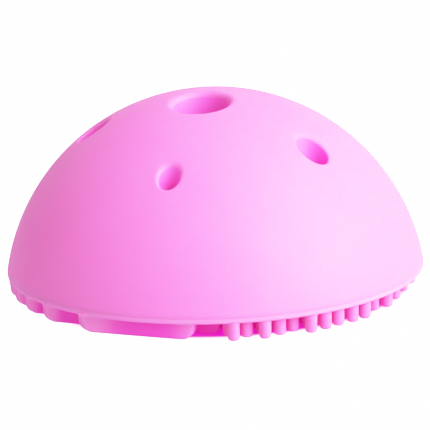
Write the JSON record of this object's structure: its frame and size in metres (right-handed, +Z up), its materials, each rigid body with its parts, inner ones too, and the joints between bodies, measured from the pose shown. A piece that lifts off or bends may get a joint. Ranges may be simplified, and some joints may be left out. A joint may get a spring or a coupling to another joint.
{
  "type": "silicone scrub brush",
  "caption": "Palm-sized soft dome with upright round bores, on a round scrub pad carrying straight ridges on one side and a field of short nubs on the other.",
  "frame": {"origin": "under the centre of the round pad, on the plane the ridge and nub tips stand on", "axes": "+Z up through the dome, +X along the ridges towards the nub side, +Y across the ridges"},
  "size_m": [0.0748, 0.0748, 0.0353],
  "materials": {
    "dome_silicone": "satin pink silicone",
    "pad_silicone": "satin pink silicone",
    "texture_silicone": "satin pink silicone"
  },
  "bodies": {
    "pad": {"brush_pad": "pad_silicone", "ridge_01": "texture_silicone", "ridge_02": "texture_silicone", "ridge_03": "texture_silicone", "ridge_04": "texture_silicone", "ridge_05": "texture_silicone", "ridge_06": "texture_silicone", "ridge_07": "texture_silicone", "ridge_08": "texture_silicone", "ridge_09": "texture_silicone", "ridge_10": "texture_silicone", "ridge_11": "texture_silicone", "ridge_12": "texture_silicone", "ridge_13": "texture_silicone", "ridge_14": "texture_silicone", "ridge_15": "texture_silicone", "ridge_16": "texture_silicone", "ridge_17": "texture_silicone", "ridge_18": "texture_silicone"},
    "dome": {"dome_shell": "dome_silicone"},
    "nub_row_01": {"nub_row_01": "texture_silicone"},
    "nub_row_02": {"nub_row_02": "texture_silicone"},
    "nub_row_03": {"nub_row_03": "texture_silicone"},
    "nub_row_04": {"nub_row_04": "texture_silicone"},
    "nub_row_05": {"nub_row_05": "texture_silicone"},
    "nub_row_06": {"nub_row_06": "texture_silicone"},
    "nub_row_07": {"nub_row_07": "texture_silicone"},
    "nub_row_08": {"nub_row_08": "texture_silicone"},
    "nub_row_09": {"nub_row_09": "texture_silicone"},
    "nub_row_10": {"nub_row_10": "texture_silicone"},
    "nub_row_11": {"nub_row_11": "texture_silicone"},
    "nub_row_12": {"nub_row_12": "texture_silicone"},
    "nub_row_13": {"nub_row_13": "texture_silicone"},
    "nub_row_14": {"nub_row_14": "texture_silicone"},
    "nub_row_15": {"nub_row_15": "texture_silicone"},
    "nub_row_16": {"nub_row_16": "texture_silicone"},
    "nub_row_17": {"nub_row_17": "texture_silicone"},
    "nub_row_18": {"nub_row_18": "texture_silicone"},
    "nub_row_19": {"nub_row_19": "texture_silicone"},
    "nub_row_20": {"nub_row_20": "texture_silicone"},
    "nub_row_21": {"nub_row_21": "texture_silicone"},
    "nub_row_22": {"nub_row_22": "texture_silicone"},
    "nub_row_23": {"nub_row_23": "texture_silicone"},
    "nub_row_24": {"nub_row_24": "texture_silicone"},
    "nub_row_25": {"nub_row_25": "texture_silicone"},
    "nub_row_26": {"nub_row_26": "texture_silicone"},
    "nub_row_27": {"nub_row_27": "texture_silicone"}
  },
  "joints": [
    {"name": "dome_lift_off", "type": "slide", "parent": "pad", "child": "dome", "axis": [0, 0, 1], "range_m": [0, 0.025]},
    {"name": "nub_row_01_lean", "type": "hinge", "parent": "pad", "child": "nub_row_01", "pos_m": [0, -0.03315, 0.0028], "axis": [1, 0, 0], "range_deg": [-12, 12], "stiffness_Nm_per_rad": 0.0017},
    {"name": "nub_row_02_lean", "type": "hinge", "parent": "pad", "child": "nub_row_02", "pos_m": [0, -0.0306, 0.0028], "axis": [1, 0, 0], "range_deg": [-12, 12], "stiffness_Nm_per_rad": 0.0051},
    {"name": "nub_row_03_lean", "type": "hinge", "parent": "pad", "child": "nub_row_03", "pos_m": [0, -0.02805, 0.0028], "axis": [1, 0, 0], "range_deg": [-12, 12], "stiffness_Nm_per_rad": 0.0051},
    {"name": "nub_row_04_lean", "type": "hinge", "parent": "pad", "child": "nub_row_04", "pos_m": [0, -0.0255, 0.0028], "axis": [1, 0, 0], "range_deg": [-12, 12], "stiffness_Nm_per_rad": 0.0085},
    {"name": "nub_row_05_lean", "type": "hinge", "parent": "pad", "child": "nub_row_05", "pos_m": [0, -0.02295, 0.0028], "axis": [1, 0, 0], "range_deg": [-12, 12], "stiffness_Nm_per_rad": 0.0085},
    {"name": "nub_row_06_lean", "type": "hinge", "parent": "pad", "child": "nub_row_06", "pos_m": [0, -0.0204, 0.0028], "axis": [1, 0, 0], "range_deg": [-12, 12], "stiffness_Nm_per_rad": 0.0102},
    {"name": "nub_row_07_lean", "type": "hinge", "parent": "pad", "child": "nub_row_07", "pos_m": [0, -0.01785, 0.0028], "axis": [1, 0, 0], "range_deg": [-12, 12], "stiffness_Nm_per_rad": 0.0102},
    {"name": "nub_row_08_lean", "type": "hinge", "parent": "pad", "child": "nub_row_08", "pos_m": [0, -0.0153, 0.0028], "axis": [1, 0, 0], "range_deg": [-12, 12], "stiffness_Nm_per_rad": 0.0119},
    {"name": "nub_row_09_lean", "type": "hinge", "parent": "pad", "child": "nub_row_09", "pos_m": [0, -0.01275, 0.0028], "axis": [1, 0, 0], "range_deg": [-12, 12], "stiffness_Nm_per_rad": 0.0102},
    {"name": "nub_row_10_lean", "type": "hinge", "parent": "pad", "child": "nub_row_10", "pos_m": [0, -0.0102, 0.0028], "axis": [1, 0, 0], "range_deg": [-12, 12], "stiffness_Nm_per_rad": 0.0119},
    {"name": "nub_row_11_lean", "type": "hinge", "parent": "pad", "child": "nub_row_11", "pos_m": [0, -0.00765, 0.0028], "axis": [1, 0, 0], "range_deg": [-12, 12], "stiffness_Nm_per_rad": 0.0119},
    {"name": "nub_row_12_lean", "type": "hinge", "parent": "pad", "child": "nub_row_12", "pos_m": [0, -0.0051, 0.0028], "axis": [1, 0, 0], "range_deg": [-12, 12], "stiffness_Nm_per_rad": 0.0119},
    {"name": "nub_row_13_lean", "type": "hinge", "parent": "pad", "child": "nub_row_13", "pos_m": [0, -0.00255, 0.0028], "axis": [1, 0, 0], "range_deg": [-12, 12], "stiffness_Nm_per_rad": 0.0119},
    {"name": "nub_row_14_lean", "type": "hinge", "parent": "pad", "child": "nub_row_14", "pos_m": [0, 0, 0.0028], "axis": [1, 0, 0], "range_deg": [-12, 12], "stiffness_Nm_per_rad": 0.0119},
    {"name": "nub_row_15_lean", "type": "hinge", "parent": "pad", "child": "nub_row_15", "pos_m": [0, 0.00255, 0.0028], "axis": [1, 0, 0], "range_deg": [-12, 12], "stiffness_Nm_per_rad": 0.0119},
    {"name": "nub_row_16_lean", "type": "hinge", "parent": "pad", "child": "nub_row_16", "pos_m": [0, 0.0051, 0.0028], "axis": [1, 0, 0], "range_deg": [-12, 12], "stiffness_Nm_per_rad": 0.0119},
    {"name": "nub_row_17_lean", "type": "hinge", "parent": "pad", "child": "nub_row_17", "pos_m": [0, 0.00765, 0.0028], "axis": [1, 0, 0], "range_deg": [-12, 12], "stiffness_Nm_per_rad": 0.0119},
    {"name": "nub_row_18_lean", "type": "hinge", "parent": "pad", "child": "nub_row_18", "pos_m": [0, 0.0102, 0.0028], "axis": [1, 0, 0], "range_deg": [-12, 12], "stiffness_Nm_per_rad": 0.0119},
    {"name": "nub_row_19_lean", "type": "hinge", "parent": "pad", "child": "nub_row_19", "pos_m": [0, 0.01275, 0.0028], "axis": [1, 0, 0], "range_deg": [-12, 12], "stiffness_Nm_per_rad": 0.0102},
    {"name": "nub_row_20_lean", "type": "hinge", "parent": "pad", "child": "nub_row_20", "pos_m": [0, 0.0153, 0.0028], "axis": [1, 0, 0], "range_deg": [-12, 12], "stiffness_Nm_per_rad": 0.0119},
    {"name": "nub_row_21_lean", "type": "hinge", "parent": "pad", "child": "nub_row_21", "pos_m": [0, 0.01785, 0.0028], "axis": [1, 0, 0], "range_deg": [-12, 12], "stiffness_Nm_per_rad": 0.0102},
    {"name": "nub_row_22_lean", "type": "hinge", "parent": "pad", "child": "nub_row_22", "pos_m": [0, 0.0204, 0.0028], "axis": [1, 0, 0], "range_deg": [-12, 12], "stiffness_Nm_per_rad": 0.0102},
    {"name": "nub_row_23_lean", "type": "hinge", "parent": "pad", "child": "nub_row_23", "pos_m": [0, 0.02295, 0.0028], "axis": [1, 0, 0], "range_deg": [-12, 12], "stiffness_Nm_per_rad": 0.0085},
    {"name": "nub_row_24_lean", "type": "hinge", "parent": "pad", "child": "nub_row_24", "pos_m": [0, 0.0255, 0.0028], "axis": [1, 0, 0], "range_deg": [-12, 12], "stiffness_Nm_per_rad": 0.0085},
    {"name": "nub_row_25_lean", "type": "hinge", "parent": "pad", "child": "nub_row_25", "pos_m": [0, 0.02805, 0.0028], "axis": [1, 0, 0], "range_deg": [-12, 12], "stiffness_Nm_per_rad": 0.0051},
    {"name": "nub_row_26_lean", "type": "hinge", "parent": "pad", "child": "nub_row_26", "pos_m": [0, 0.0306, 0.0028], "axis": [1, 0, 0], "range_deg": [-12, 12], "stiffness_Nm_per_rad": 0.0051},
    {"name": "nub_row_27_lean", "type": "hinge", "parent": "pad", "child": "nub_row_27", "pos_m": [0, 0.03315, 0.0028], "axis": [1, 0, 0], "range_deg": [-12, 12], "stiffness_Nm_per_rad": 0.0017}
  ]
}
